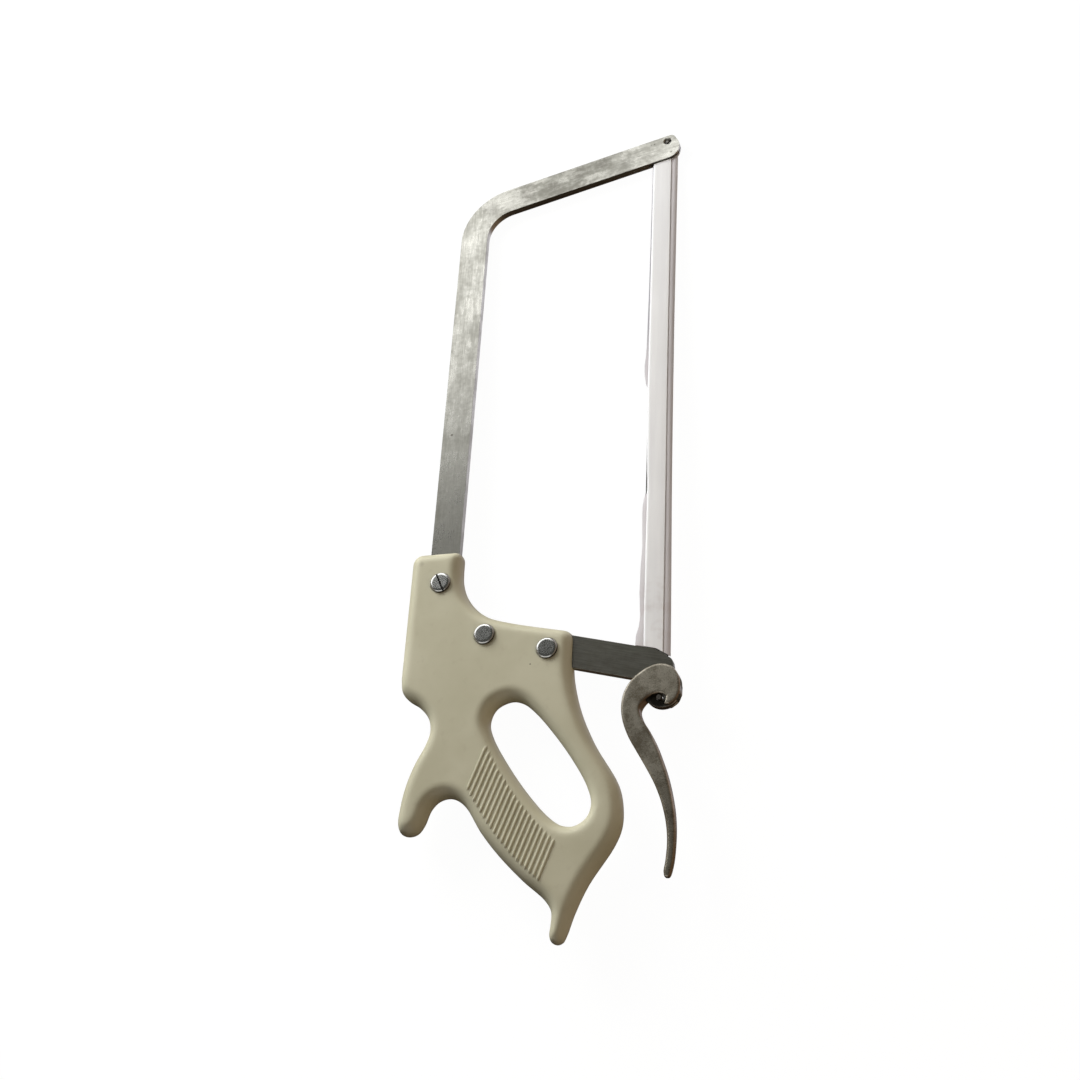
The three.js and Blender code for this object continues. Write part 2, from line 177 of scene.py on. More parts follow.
def rounded(corners, step=5.0):
    """A closed polygon whose corners (x, y, radius) are rounded, with a point every few degrees."""
    dots = []
    for i, (x, y, r) in enumerate(corners):
        here = Vector((x, y))
        if not r:
            dots.append(here)
            continue
        back = (Vector(corners[i - 1][:2]) - here).normalized()
        on = (Vector(corners[(i + 1) % len(corners)][:2]) - here).normalized()
        half = math.acos(max(-1, min(1, back.dot(on)))) / 2
        centre = here + (back + on).normalized() * (r / math.sin(half))
        start = here + back * (r / math.tan(half)) - centre
        turn = (math.pi - 2 * half) * math.copysign(1, on.cross(back))
        steps = max(1, round(abs(math.degrees(turn)) / step))
        for k in range(steps + 1):
            spin = Matrix.Rotation(turn * k / steps, 2)
            dots.append(spin @ start + centre)
    return dots


def curve(points, steps, closed=False):
    """A centripetal Catmull-Rom curve through points, with each span split in equal steps."""
    knots = [Vector(p) for p in points]
    if closed:
        knots = [knots[-1]] + knots + knots[:2]
    else:
        knots = [2 * knots[0] - knots[1]] + knots + [2 * knots[-1] - knots[-2]]
    dots = []
    for p0, p1, p2, p3 in zip(knots, knots[1:], knots[2:], knots[3:]):
        d0 = math.sqrt((p1 - p0).length)
        d1 = math.sqrt((p2 - p1).length)
        d2 = math.sqrt((p3 - p2).length)
        u = ((p1 - p0) / d0 - (p2 - p0) / (d0 + d1) + (p2 - p1) / d1) * d1
        v = ((p2 - p1) / d1 - (p3 - p1) / (d1 + d2) + (p3 - p2) / d2) * d1
        for k in range(steps):
            t = k / steps
            bend = -3 * p1 + 3 * p2 - 2 * u - v
            twist = 2 * p1 - 2 * p2 + u + v
            dots.append(p1 + u * t + bend * t**2 + twist * t**3)
    if not closed:
        dots.append(Vector(points[-1]))
    return dots


def circle(centre, r, sides):
    return [Vector(centre) + direction(360 * i / sides) * r for i in range(sides)]


def across(angle, offset):
    return direction(angle + 90) * offset


def top_line(offset):
    return across(TOP_ARM_TILT, offset) + Vector((0, SPINE_LENGTH))


def low_line(offset):
    return across(LOW_ARM_TILT, offset)


def bar_outline(grow=0.0):
    """The bar without its round end, grown outwards by a clearance."""
    side = HALF_BAR + grow
    under = low_line(-side - LOW_ARM_DEEPER)

    def top_corner(s):
        return meet((-s, 0), 90, top_line(s), TOP_ARM_TILT)

    def tip_corner(s):
        return meet(TIP_END, TIP_END_ANGLE, top_line(s), TOP_ARM_TILT)

    return rounded([
        (*top_corner(side), TOP_BEND_RADIUS + side),
        (*meet((-side, 0), 90, under, LOW_ARM_TILT), LOW_BEND_RADIUS + side),
        (*meet((LOBE_CENTRE.x, 0), 90, under, LOW_ARM_TILT), 0),
        (LOBE_CENTRE.x + 7.6, LOBE_CENTRE.y + 7.4, 0),
        (*HEEL_SHOULDER, 4.5),
        (*meet(low_line(side), LOW_ARM_TILT, HEEL_SHOULDER, HEEL_SHOULDER_ANGLE), 10),
        (*meet((side, 0), 90, low_line(side), LOW_ARM_TILT), LOW_BEND_RADIUS - side),
        (*top_corner(-side), TOP_BEND_RADIUS - side),
        (*tip_corner(-side), TIP_CORNER_RADII[0]),
        (*tip_corner(side), TIP_CORNER_RADII[1]),
    ])


HANDLE_OUTLINE = [
    *rounded([(12.2, 20, 0), (12.2, HANDLE_TOP, 5.5), (-21.2, HANDLE_TOP, 7), (-21.2, 20, 0)])[1:-1],
    *curve([
        (-21.2, -33), (-19.7, -41), (-15, -46.3), (-7.3, -51.3), (-1.2, -58.7), (0.5, -67), (-1.6, -75),
        (-7.4, -87), (-11.6, -99.5), (-13.8, -112), (-14.2, -123), (-11.6, -128), (-7, -129.3),
        (-2.2, -127.6), (1.4, -122.6), (4.8, -113.5), (9, -109), (15.2, -107.3), (21.2, -109), (27.2, -114),
        (36.5, -128), (48, -141.5), (63.5, -156.3), (77, -167.4), (80.9, -173.6), (81, -180.5),
        (80.5, -186.4), (81.8, -189.8), (84.8, -191.2), (88, -189.9), (90.2, -185.8), (94, -174.5),
        (101.3, -158.5), (114.8, -138), (118.9, -128), (119.6, -117.5), (116.8, -103.5), (101.8, -78.5),
        (92.8, -58.3), (88, -40), (86.6, -28),
    ], 5),
    *rounded([(86.6, -28, 0), (86.6, -8.1, 7.5), (40, 0.2, 0)])[1:-1],
    *curve([(62, -3.3), (47, 0.1), (32.2, 4.8), (23.2, 11.3), (16.3, 20.6), (12.9, 30.5), (12.2, 39)], 5),
]
GRIP_HOLE = curve([
    (49.5, -49.6), (57.3, -51.5), (65, -57.6), (76, -70), (88.5, -86.8), (98, -103), (101, -113.5),
    (98.7, -121.3), (92, -125.9), (84.6, -125.5), (77, -120.8), (64.5, -107.7), (50.6, -89.2), (39.6, -70.8),
    (37.3, -62), (40.5, -53.6),
], 6, closed=True)
LEVER_OUTLINE = [
    *curve([
        (151.4, -45.5), (150.6, -40.6), (147.1, -35), (142.4, -32.8), (136.6, -32.7), (129, -36.1),
        (122, -42.4), (118.3, -49.3), (117.1, -56.8), (117.9, -64.9), (121.4, -75), (126.7, -84.5),
        (132, -93.6), (137.2, -103.4), (141.2, -113.8), (143.9, -125), (144.8, -136), (144, -146.5),
        (143.1, -152.5), (144, -155.4), (146.4, -155.5), (148.5, -149.5), (149.8, -135), (149.4, -122),
        (147.7, -111), (144.9, -99.5), (141.5, -89.5), (137.7, -80), (133.1, -71.2), (129.2, -64.6),
        (127.9, -59.2), (130.3, -54.8), (134.5, -51.6), (138.7, -50.4), (141.7, -51),
    ], 6),
    Vector((143.3, -52.4)),
    Vector((142.4, -57.2)),
    *curve([(145.2, -57.5), (149.2, -54.4), (151.2, -50)], 6),
]

# ---------------------------------------------------------------- mesh building


def make_object(name, points, faces):
    mesh = bpy.data.meshes.new(name)
    mesh.from_pydata([tuple(p) for p in points], [], faces)
    mesh.update()
    return in_scene(name, mesh)


def apply_modifiers(piece):
    graph = bpy.context.evaluated_depsgraph_get()
    mesh = bpy.data.meshes.new_from_object(piece.evaluated_get(graph))
    piece.modifiers.clear()
    piece.data = mesh


def outward(piece):
    """Turns every face to look out of its solid."""
    bm = bmesh.new()
    bm.from_mesh(piece.data)
    bmesh.ops.recalc_face_normals(bm, faces=bm.faces)
    bm.to_mesh(piece.data)
    bm.free()


def make_solid(name, points, faces):
    piece = make_object(name, points, faces)
    outward(piece)
    return piece


def prism(name, outline, low, high):
    """A closed outline pushed from z = low to z = high."""
    dots = [Vector(p) for p in outline]
    dots = [p for p, q in zip(dots, dots[1:] + dots[:1]) if (p - q).length > 1e-4]
    count = len(dots)
    flat = [Vector((p.x, p.y, 0)) for p in dots]
    triangles = tessellate_polygon([flat])
    points = [(p.x, p.y, z) for z in (low, high) for p in dots]
    faces = [tuple(t) for t in triangles]
    faces += [tuple(i + count for i in reversed(t)) for t in triangles]
    faces += [(i, (i + 1) % count, (i + 1) % count + count, i + count) for i in range(count)]
    return make_solid(name, points, faces)


def drum(centre, r, low, high, sides=48):
    return prism("drum", circle(centre, r, sides), low, high)


def slab(x0, x1, y0, y1, z0, z1):
    return prism("slab", [(x0, y0), (x1, y0), (x1, y1), (x0, y1)], z0, z1)


def combine(piece, others, operation):
    """Cuts the others out of a solid, or joins them to it, and removes them."""
    for other in others:
        step = piece.modifiers.new("combine", "BOOLEAN")
        step.object = other
        step.operation = operation
        step.solver = "MANIFOLD"
        apply_modifiers(piece)
        bpy.data.objects.remove(other)


def mirror_z(piece):
    piece.data.transform(Matrix.Scale(-1, 4, (0, 0, 1)))
    outward(piece)
    return piece


def soften_edges(piece, width, segments):
    """A small round along the sharp edges."""
    bm = bmesh.new()
    bm.from_mesh(piece.data)
    bmesh.ops.remove_doubles(bm, verts=bm.verts, dist=0.01)
    bmesh.ops.dissolve_limit(bm, angle_limit=math.radians(0.3), verts=bm.verts, edges=bm.edges)
    bm.to_mesh(piece.data)
    bm.free()
    step = piece.modifiers.new("edge", "BEVEL")
    step.width = width
    step.segments = segments
    step.limit_method = "ANGLE"
    step.angle_limit = math.radians(35)
    apply_modifiers(piece)


def shade(piece, angle, flat_faces=False):
    """Smooth shading up to an angle; with flat_faces, the large faces set the shading of the small rounds."""
    for face in piece.data.polygons:
        face.use_smooth = True
    piece.data.set_sharp_from_angle(angle=math.radians(angle))
    if flat_faces:
        step = piece.modifiers.new("normals", "WEIGHTED_NORMAL")
        step.weight = 100
        step.keep_sharp = True
        apply_modifiers(piece)


def settle(piece, body, slot, material, *nodes):
    """Brings a piece made in the drawing's frame to the row frame and ties it to the CAD part."""
    piece.data.transform(TO_ROW)
    piece.data.materials.clear()
    piece.data.materials.append(material)
    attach(piece, body)
    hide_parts(*nodes)


class Field:
    """Distance inwards from an outline with holes, on a grid, smoothed away from the edge."""

    def __init__(self, loops, step, smooth):
        corner = np.array([p for loop in loops for p in loop])
        self.low = corner.min(0) - 6 * step
        self.step = step
        counts = np.ceil((corner.max(0) + 6 * step - self.low) / step).astype(int) + 1
        gx, gy = np.meshgrid(*(self.low[k] + np.arange(counts[k]) * step for k in (0, 1)))
        best = np.full(gx.shape, 1e9)
        inside = np.zeros(gx.shape, bool)
        for loop in loops:
            for a, b in zip(loop, loop[1:] + loop[:1]):
                dx, dy = b.x - a.x, b.y - a.y
                if dx == 0 and dy == 0:
                    continue
                t = np.clip(((gx - a.x) * dx + (gy - a.y) * dy) / (dx * dx + dy * dy), 0, 1)
                best = np.minimum(best, (gx - a.x - t * dx) ** 2 + (gy - a.y - t * dy) ** 2)
                if dy:
                    inside ^= ((a.y > gy) != (b.y > gy)) & (gx < a.x + (gy - a.y) * dx / dy)
        exact = np.where(inside, 1, -1) * np.sqrt(best)
        soft = self.blurred(exact, smooth / step)
        blend = np.clip((exact - smooth * 0.5) / (smooth * 1.5), 0, 1)
        self.values = exact + (soft - exact) * blend * blend * (3 - 2 * blend)

    @staticmethod
    def blurred(grid, sigma):
        reach = int(3 * sigma) + 1
        kernel = np.exp(-0.5 * (np.arange(-reach, reach + 1) / sigma) ** 2)
        kernel /= kernel.sum()
        for axis in (0, 1):
            padded = np.pad(grid, [(reach, reach) if k == axis else (0, 0) for k in (0, 1)], "edge")
            size = grid.shape[axis]
            grid = sum(w * np.take(padded, range(i, i + size), axis) for i, w in enumerate(kernel))
        return grid

    def at(self, x, y):
        rows, columns = self.values.shape
        u = np.clip((x - self.low[0]) / self.step, 0, columns - 1.001)
        v = np.clip((y - self.low[1]) / self.step, 0, rows - 1.001)
        i, j = u.astype(int), v.astype(int)
        u, v = u - i, v - j
        near = self.values[j, i] * (1 - u) + self.values[j, i + 1] * u
        far = self.values[j + 1, i] * (1 - u) + self.values[j + 1, i + 1] * u
        return near * (1 - v) + far * v


def rounded_solid(name, loops, field, half_thick, edge, voxel, crease=0.0):
    """A plate with moulded round edges: half_thick(x, y) and edge(x, y), the width of the round, give its
    local form. The round leaves the face at the crease angle, in degrees. The plate is remeshed, then its
    points are drawn onto that form and spread evenly over it."""
    piece = prism(name, loops[0], -half_thick(0, 0), half_thick(0, 0))
    reach = half_thick(0, 0) + 5
    combine(piece, [prism("hole", loop, -reach, reach) for loop in loops[1:]], "DIFFERENCE")
    step = piece.modifiers.new("voxels", "REMESH")
    step.mode = "VOXEL"
    step.voxel_size = voxel
    apply_modifiers(piece)
    count = len(piece.data.vertices)
    points = np.zeros(count * 3)
    piece.data.vertices.foreach_get("co", points)
    points = points.reshape(-1, 3)
    pairs = np.zeros(len(piece.data.edges) * 2, int)
    piece.data.edges.foreach_get("vertices", pairs)
    pairs = pairs.reshape(-1, 2)
    degree = np.bincount(pairs.ravel(), minlength=count)[:, None]

    sine, cosine = math.sin(math.radians(crease)), math.cos(math.radians(crease))

    def value(p):
        x, y, z = p.T
        width = edge(x, y)
        r = width / (1 - sine)
        above = np.abs(z) - half_thick(x, y)
        a = width - field.at(x, y) + r * sine
        b = above + r * cosine
        arc = np.hypot(np.maximum(a, 0), np.maximum(b, 0)) - r
        soft = np.maximum(CREASE_BLEND - np.abs(arc - above), 0)
        return np.maximum(arc, above) + soft * soft / (4 * CREASE_BLEND)

    def project(p, rounds):
        small = 0.04
        for _ in range(rounds):
            slope = np.empty_like(p)
            for k in range(3):
                shift = np.zeros(3)
                shift[k] = small
                slope[:, k] = (value(p + shift) - value(p - shift)) / (2 * small)
            steep = np.maximum((slope**2).sum(1), 0.2)
            p = p - slope * np.clip(value(p) / steep, -2, 2)[:, None]
        return p

    points = project(points, 6)
    for _ in range(6):
        near = np.zeros_like(points)
        for k in (0, 1):
            np.add.at(near, pairs[:, k], points[pairs[:, 1 - k]])
        points = project(points * 0.5 + near / degree * 0.5, 2)
    points = project(points, 3)
    piece.data.vertices.foreach_set("co", points.ravel())
    piece.data.update()
    outward(piece)
    return piece


def lathe(name, profile, sides=64):
    """A profile of (radius, z) from the top of the axis round to its foot, turned about Z."""
    points = []
    rings = []
    for r, z in profile:
        if r == 0:
            rings.append([len(points)])
            points.append((0, 0, z))
        else:
            rings.append(list(range(len(points), len(points) + sides)))
            points += [(*(direction(360 * i / sides) * r), z) for i in range(sides)]
    faces = []
    for upper, lower in zip(rings, rings[1:]):
        for i in range(sides):
            k = (i + 1) % sides
            corners = [
                upper[i % len(upper)], lower[i % len(lower)], lower[k % len(lower)], upper[k % len(upper)],
            ]
            faces.append(tuple(dict.fromkeys(corners)))  # a triangle where a ring is a single point
    return make_solid(name, points, faces)


# ---------------------------------------------------------------- materials


def open_nodes(owner):
    """Empties the node tree of a material or the world, and makes it the one that node() adds to."""
    global tree
    owner.use_nodes = True
    tree = owner.node_tree
    tree.nodes.clear()


def node(kind, inputs=None, **settings):
    made = tree.nodes.new("ShaderNode" + kind)
    for name, value in settings.items():
        setattr(made, name, value)
    for name, value in (inputs or {}).items():
        if isinstance(value, bpy.types.NodeSocket):
            tree.links.new(value, made.inputs[name])
        else:
            made.inputs[name].default_value = value
    return made


def new_material(name, **shader):
    """A material with one Principled shader whose uniform numbers are set on its own sockets."""
    made = bpy.data.materials.new(name)
    open_nodes(made)
    surface = node("BsdfPrincipled", shader)
    node("OutputMaterial", {"Surface": surface.outputs[0]})
    return made, surface


def place(scale=(1, 1, 1), turn=0.0):
    """The piece's own coordinates in metres, turned about Z and scaled."""
    spot = node("TexCoord").outputs["Object"]
    turned = node("Mapping", {"Vector": spot, "Rotation": (0, 0, math.radians(turn))})
    return node("Mapping", {"Vector": turned.outputs[0], "Scale": scale}).outputs[0]


def noise(vector, scale, detail=3.0, rough=0.55):
    inputs = {"Vector": vector, "Scale": scale, "Detail": detail, "Roughness": rough}
    return node("TexNoise", inputs).outputs[0]


def remap(value, low, high, to_low, to_high):
    """A soft step from to_low to to_high as the value goes from low to high."""
    inputs = {"Value": value, "From Min": low, "From Max": high, "To Min": to_low, "To Max": to_high}
    return node("MapRange", inputs, interpolation_type="SMOOTHSTEP").outputs[0]


def times(a, b, operation="MULTIPLY"):
    """The product of two values, or another operation on them."""
    made = node("Math", operation=operation)
    for socket, value in zip(made.inputs, (a, b)):
        if isinstance(value, bpy.types.NodeSocket):
            tree.links.new(value, socket)
        else:
            socket.default_value = value
    return made.outputs[0]


def mix(factor, a, b):
    made = node("Mix", data_type="RGBA")
    for index, value in ((0, factor), (6, a), (7, b)):
        if isinstance(value, bpy.types.NodeSocket):
            tree.links.new(value, made.inputs[index])
        else:
            made.inputs[index].default_value = value if index == 0 else (*value, 1)
    return made.outputs[2]


def bump(height, strength, distance, before=None):
    inputs = {"Height": height, "Strength": strength, "Distance": distance}
    if before:
        inputs["Normal"] = before
    return node("Bump", inputs).outputs[0]


def facing(towards):
    """How squarely the surface faces a direction, -1 to 1."""
    normal = node("NewGeometry").outputs["Normal"]
    return node("VectorMath", {0: normal, 1: towards}, operation="DOT_PRODUCT").outputs["Value"]


def coordinate(axis):
    """One of the piece's own coordinates, in metres."""
    return node("SeparateXYZ", {0: node("TexCoord").outputs["Object"]}).outputs[axis]


def ramp(axis, start, end, low, high):
    """A soft step from low to high between two places along the drawing's X or Y, in millimetres."""
    zero = ORIGIN["XY".index(axis)]
    return remap(coordinate(axis), zero + start * MM, zero + end * MM, low, high)


def near_spot(at, inner, outer):
    """1 within inner of a point of the drawing, falling to 0 at outer, in millimetres."""
    spot = node("TexCoord").outputs["Object"]
    gap = node("VectorMath", {0: spot, 1: row(*at)}, operation="DISTANCE")
    return remap(gap.outputs["Value"], inner * MM, outer * MM, 1, 0)


def connect(surface, **sockets):
    for name, source in sockets.items():
        tree.links.new(source, surface.inputs[name.replace("_", " ")])


# Small marks on the handle's front face: x, y, inner and outer radius in millimetres, strength
HANDLE_MARKS = [(62.4, -29.9, 0.25, 0.7, 0.9), (-12.9, 41.6, 0.4, 2.6, 0.22)]


def plastic_material():
    """Cream plastic, slightly cloudy and soiled, with a fine moulded grain."""
    made, surface = new_material("cream_moulded_plastic", **{"IOR": 1.47, "Specular IOR Level": 0.65})
    cloud = noise(place(), 28, 3)
    colour = mix(remap(cloud, 0.3, 0.7, 0, 1), (0.545, 0.525, 0.392), (0.60, 0.58, 0.445))
    grime = times(remap(noise(place(), 160, 5), 0.55, 0.8, 0, 1), 0.22)
    colour = mix(grime, colour, (0.40, 0.355, 0.26))
    for x, y, inner, outer, amount in HANDLE_MARKS:
        spot = times(near_spot((x, y, HANDLE_HALF), inner, outer), amount)
        colour = mix(spot, colour, (0.12, 0.09, 0.06))
    grain = noise(place(), 1500, 2)
    flow = noise(place(), 70, 2)
    relief = bump(grain, 0.12, 0.0002, bump(flow, 0.05, 0.002))
    rough = remap(times(cloud, times(grain, 0.3), "ADD"), 0.4, 0.95, 0.36, 0.5)
    connect(surface, Base_Color=colour, Roughness=rough, Normal=relief)
    return made


def streaks(turn, along, across_scale):
    """Long fine lines that run at an angle from X."""
    return noise(place((along, across_scale, across_scale), -turn), 1, 3, 0.6)


# Dark blotches and pits on the bar's front face: x, y, radius in millimetres, strength
TOP_ARM_BLOTCHES = [
    (9.5, 319.9, 9, 0.75), (36.5, 327.3, 9, 0.75), (56.8, 331.8, 8, 0.6), (72.3, 339.9, 9, 0.6),
    (91.2, 345.4, 8, 0.55), (108, 344, 8, 0.6),
]
PITS = [
    (-3.2, 137, 1.3, 0.75), (127.5, 354.4, 0.9, 0.6), (125.3, 354.2, 0.8, 0.5), (139.3, 345.8, 1.3, 0.6),
]


def ground_steel_material():
    """Cold-rolled bar with a ground face: cloudy, with lines that run along each straight stretch. Painted shade
    darkens the spine towards the handle, the lower arm and the outer edges; a painted shadow blackens the face
    round the heel pin."""
    made, surface = new_material("ground_steel", Metallic=1.0)
    on_arm = ramp("X", HALF_BAR - 4, HALF_BAR + 14, 0, 1)
    on_spine = remap(on_arm, 0, 1, 1, 0)
    on_top = ramp("Y", 150, 151, 0, 1)

    def along_bar(along, across_scale):
        angles = (90, TOP_ARM_TILT, LOW_ARM_TILT)
        spine, top, low = (streaks(angle, along, across_scale) for angle in angles)
        return mix(on_arm, spine, mix(on_top, low, top))

    grain = along_bar(70, 1500)
    brush = along_bar(55, 260)
    cloud = noise(place(), 60, 4, 0.6)
    blotch = noise(place(), 330, 4, 0.7)
    soft = times(times(cloud, 0.42), times(brush, 0.30), "ADD")
    tone = times(soft, times(blotch, 0.28), "ADD")
    colour = mix(remap(tone, 0.38, 0.60, 0, 1), (0.51, 0.505, 0.46), (0.76, 0.755, 0.705))
    lines = remap(grain, 0.3, 0.7, 0.30, 0)
    colour = mix(lines, colour, (0.25, 0.24, 0.21))
    mottled = remap(tone, 0.4, 0.58, 0.85, 0.45)
    worn = times(near_spot((66, 335), 15, 75), mottled)
    colour = mix(worn, colour, (0.25, 0.245, 0.215))
    for x, y, outer, amount in TOP_ARM_BLOTCHES:
        blotted = times(near_spot((x, y, HALF_BAR_THICK), 0.5, outer), amount)
        blotted = times(blotted, remap(tone, 0.42, 0.56, 1, 0.45))
        colour = mix(blotted, colour, (0.20, 0.19, 0.17))
    # Painted shade: the spine's colour darkens towards the handle, standing in for the darker room its lower
    # part reflects.
    below = times(ramp("Y", 40, 215, 0.5, 0), on_spine)
    colour = mix(below, colour, (0.24, 0.235, 0.21))
    flat = node("Math", {0: facing((0, 0, 1))}, operation="ABSOLUTE").outputs[0]
    # Painted shade: the lower arm's flat faces take a dark steel colour, for the dark room they reflect; the
    # rounds stay light.
    heel = ramp("X", 70, 95, 0, 0.68)
    heel = times(heel, remap(on_top, 0, 1, 1, 0))
    heel = times(heel, remap(flat, 0.90, 0.998, 0.05, 1))
    # drawn holds the dark colours of that painted shade, still streaked with the grain.
    drawn = remap(grain, 0.35, 0.65, 0, 1)
    drawn = mix(drawn, (0.145, 0.137, 0.108), (0.205, 0.195, 0.158))
    colour = mix(heel, colour, drawn)
    stain = remap(noise(place(), 420, 3), 0.66, 0.76, 0, 0.3)
    stain = times(stain, remap(heel, 0, 0.6, 1, 0))
    colour = mix(stain, colour, (0.20, 0.185, 0.15))
    # scale is painted shade: faces turned up and to the left, the outer edges of spine and top arm, darkened
    # nearly to black.
    scale = remap(facing((-0.8, 0.6, 0)), 0.08, 0.22, 0, 0.92)
    scale = times(scale, ramp("Y", 15, 40, 0, 1))
    colour = mix(scale, colour, (0.085, 0.08, 0.085))
    for x, y, outer, amount in PITS:
        pit = times(near_spot((x, y, HALF_BAR_THICK), 0.25, outer), amount)
        colour = mix(pit, colour, (0.08, 0.07, 0.05))
    # Painted shadow: the bar's flat faces round the heel pin, inside the lever's mouth, are made nearly black.
    mouth = times(near_spot((*HEEL_PIN, HALF_BAR_THICK), 4.5, 9), 0.93)
    mouth = times(mouth, remap(flat, 0.7, 0.9, 0, 1))
    colour = mix(mouth, colour, (0.022, 0.018, 0.013))
    rough = remap(times(tone, times(grain, 0.25), "ADD"), 0.5, 0.78, 0.38, 0.24)
    rough = times(rough, times(heel, 0.53), "MAXIMUM")
    relief = bump(grain, 0.16, 0.0001, bump(cloud, 0.06, 0.0012))
    connect(surface, Base_Color=colour, Roughness=rough, Normal=relief)
    return made


def cast_steel_material():
    """The lever's matte cast skin: mottled grey, with brown in the mouth, and a painted brown reflection down
    the back, on the sides that face right and down.
    """
    made, surface = new_material("cast_steel", Metallic=0.82)
    cloud = noise(place(), 120, 5, 0.65)
    grain = noise(place(), 1300, 3, 0.6)
    tone = times(times(cloud, 0.6), times(grain, 0.4), "ADD")
    mottle = remap(tone, 0.36, 0.62, 0, 1)
    colour = mix(mottle, (0.265, 0.24, 0.188), (0.635, 0.60, 0.515))
    mouth = near_spot((133.5, -56, 2), 3, 8.5)
    rust = times(mouth, remap(noise(place(), 260, 4), 0.35, 0.6, 0.4, 1))
    colour = mix(times(rust, 0.75), colour, (0.12, 0.06, 0.03))
    patina = remap(cloud, 0.35, 0.6, 0.55, 0.15)
    neck = times(near_spot((122, -68, 4), 8, 30), patina)
    colour = mix(neck, colour, (0.15, 0.125, 0.09))
    # Painted reflection: the sides facing right and down are browned, for the brown surroundings they reflect.
    painted_brown_reflection = remap(facing((0.8, -0.6, 0)), 0.15, 0.6, 0, 0.75)
    colour = mix(painted_brown_reflection, colour, (0.22, 0.15, 0.09))
    fleck = times(remap(noise(place(), 650, 2), 0.66, 0.75, 0, 1), 0.6)
    colour = mix(fleck, colour, (0.17, 0.12, 0.08))
    handled = ramp("Y", -120, -90, 0.16, 0)
    rough = times(remap(tone, 0.35, 0.65, 0.48, 0.34), handled, "SUBTRACT")
    relief = bump(grain, 0.28, 0.0002, bump(cloud, 0.12, 0.0008))
    connect(surface, Base_Color=colour, Roughness=rough, Normal=relief)
    return made


def plated_material():
    """Nickel-plated heads: dulled flat faces, with painted shade in the slots and round the lower rims."""
    made, surface = new_material("nickel_plate", Metallic=1.0)
    from_middle = times(coordinate("Z"), ORIGIN.z, "SUBTRACT")
    depth = node("Math", {0: from_middle}, operation="ABSOLUTE").outputs[0]
    cloud = noise(place(), 300, 2, 0.5)
    fine = noise(place(), 1800, 2, 0.5)
    colour = mix(remap(cloud, 0.3, 0.7, 0, 1), (0.76, 0.77, 0.76), (0.90, 0.91, 0.90))
    # Painted shade: a head is made nearly black from half a millimetre under its top downwards, in slots and
    # lower rims.
    painted_recess_shade = remap(depth, (HEAD_TOP - 0.85) * MM, (HEAD_TOP - 0.5) * MM, 0.9, 0)
    colour = mix(painted_recess_shade, colour, (0.03, 0.025, 0.02))
    rough = remap(times(cloud, times(fine, 0.3), "ADD"), 0.45, 0.85, 0.27, 0.21)
    relief = bump(fine, 0.04, 0.00004)
    connect(surface, Base_Color=colour, Roughness=rough, Normal=relief)
    return made


def blade_steel_material():
    """Bright strip steel with fine lines along the blade."""
    made, surface = new_material("blade_steel", Metallic=1.0)
    lines = streaks(90, 25, 2200)
    cloud = noise(place(), 90, 4)
    colour = mix(remap(cloud, 0.35, 0.65, 0, 1), (0.50, 0.50, 0.49), (0.66, 0.66, 0.65))
    rough = remap(lines, 0.3, 0.7, 0.36, 0.22)
    relief = bump(lines, 0.12, 0.00008)
    connect(surface, Base_Color=colour, Roughness=rough, Normal=relief)
    return made


def pin_steel_material():
    """Dark pin ends: painted shade for the holes they sit in."""
    made, surface = new_material("pin_steel_in_shade", Metallic=1.0)
    cloud = noise(place(), 700, 3)
    colour = mix(remap(cloud, 0.35, 0.65, 0, 1), (0.13, 0.12, 0.11), (0.30, 0.29, 0.27))
    rough = remap(cloud, 0.3, 0.7, 0.5, 0.35)
    connect(surface, Base_Color=colour, Roughness=rough)
    return made


def paper_material(name, light, dark):
    """Thin paper with soft creases along the blade, painted shade in their hollows, faint spots near its lower
    end, and a painted shadow line up the fold's left edge."""
    made, surface = new_material(name, **{"IOR": 1.4, "Specular IOR Level": 0.3})
    crease = noise(place((160, 9, 160)), 1, 4, 0.6)
    fibre = noise(place(), 900, 4, 0.7)
    # Painted shade: the paper is darker in the hollows of its crease waves, which also drive the bump.
    colour = mix(remap(crease, 0.3, 0.7, 0, 1), dark, light)
    # Faint darker spots towards the lower end of the sleeve.
    low = ramp("Y", 10, 45, 1, 0)
    lower_end_spots = times(low, remap(noise(place(), 120, 2), 0.45, 0.75, 0, 0.22))
    colour = mix(lower_end_spots, colour, (0.50, 0.42, 0.42))
    # Painted shadow: a thin dark line up the fold's left edge, over the sleeve's upper part.
    painted_shadow_line = ramp("X", 126.7, 127.5, 0.7, 0)
    painted_shadow_line = times(painted_shadow_line, ramp("Y", 165, 215, 0, 1))
    colour = mix(painted_shadow_line, colour, (0.20, 0.20, 0.23))
    rough = remap(fibre, 0.3, 0.7, 0.55, 0.75)
    relief = bump(fibre, 0.15, 0.0001, bump(crease, 0.25, 0.0006))
    connect(surface, Base_Color=colour, Roughness=rough, Normal=relief)
    return made


plastic = plastic_material()
ground_steel = ground_steel_material()
cast_steel = cast_steel_material()
plated = plated_material()
blade_steel = blade_steel_material()
pin_steel_in_shade = pin_steel_material()
over_paper = paper_material("sleeve_paper_outer", (0.945, 0.955, 0.985), (0.875, 0.885, 0.92))
# Painted shade: the inner wrap is the same paper in darker colours, for the shade it lies in beside and behind
# the outer wrap.
shaded_under_paper = paper_material("sleeve_paper_inner_in_shade", (0.70, 0.68, 0.71), (0.58, 0.555, 0.585))

# ---------------------------------------------------------------- frame bar

